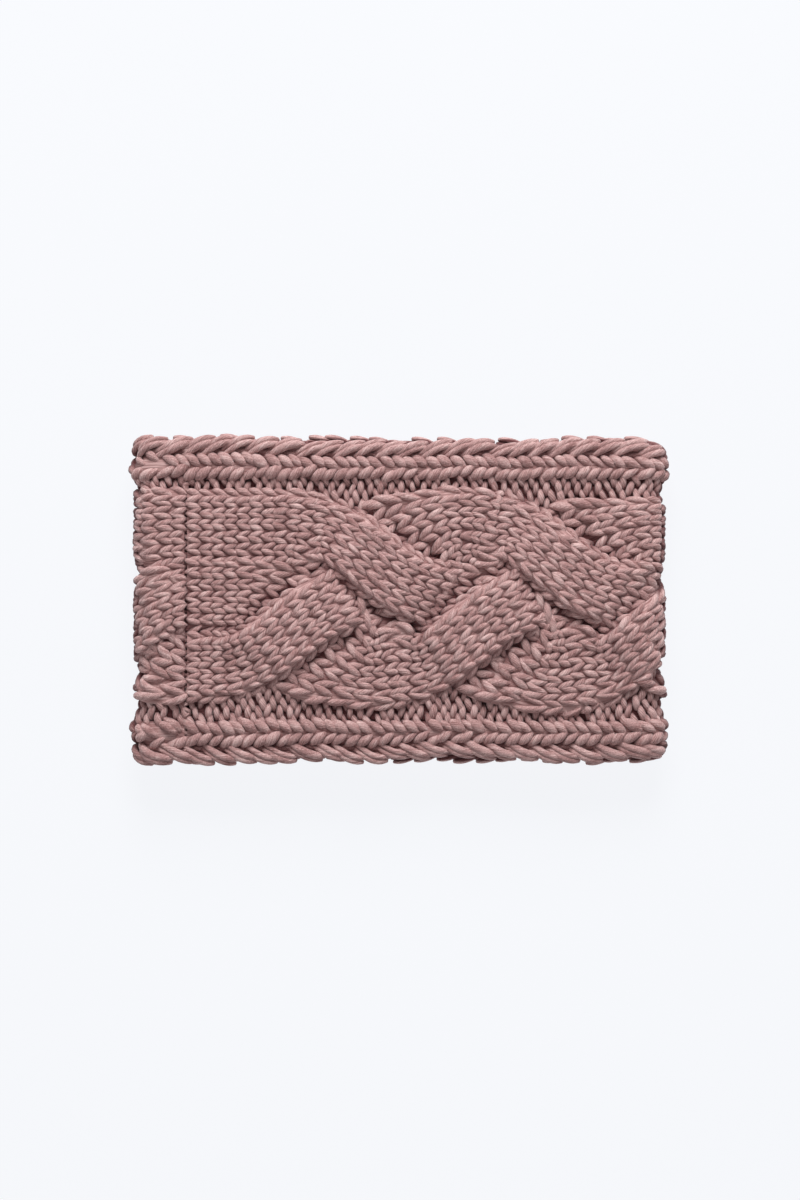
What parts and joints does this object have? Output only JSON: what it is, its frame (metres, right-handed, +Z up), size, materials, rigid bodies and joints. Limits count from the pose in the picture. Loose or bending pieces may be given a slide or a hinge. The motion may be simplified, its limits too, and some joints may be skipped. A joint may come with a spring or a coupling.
{
  "type": "ear warmer headband",
  "caption": "Chunky knitted ear warmer headband: a wide loop with a plaited cable between plain knit borders, closed by a sewn seam, worn round the head over the ears.",
  "frame": {"origin": "centre of the underside as it lies flat and folded, on the surface that it rests on", "axes": "+Z up out of the upper face, +X from fold to fold across the folded width, +Y towards the upper border"},
  "size_m": [0.23, 0.143, 0.0282],
  "materials": {
    "chunky_yarn": "matt dusty rose yarn, loosely spun, with fibre streaks along it and a soft sheen",
    "seam_yarn": "the same yarn, pulled tight in the seam"
  },
  "bodies": {
    "root": {"knit_ground": "chunky_yarn", "upper_border": "chunky_yarn", "lower_border": "chunky_yarn", "plait_strand_1": "chunky_yarn", "plait_strand_2": "chunky_yarn", "plait_strand_3": "chunky_yarn", "seam_yarn": "seam_yarn"}
  },
  "joints": []
}
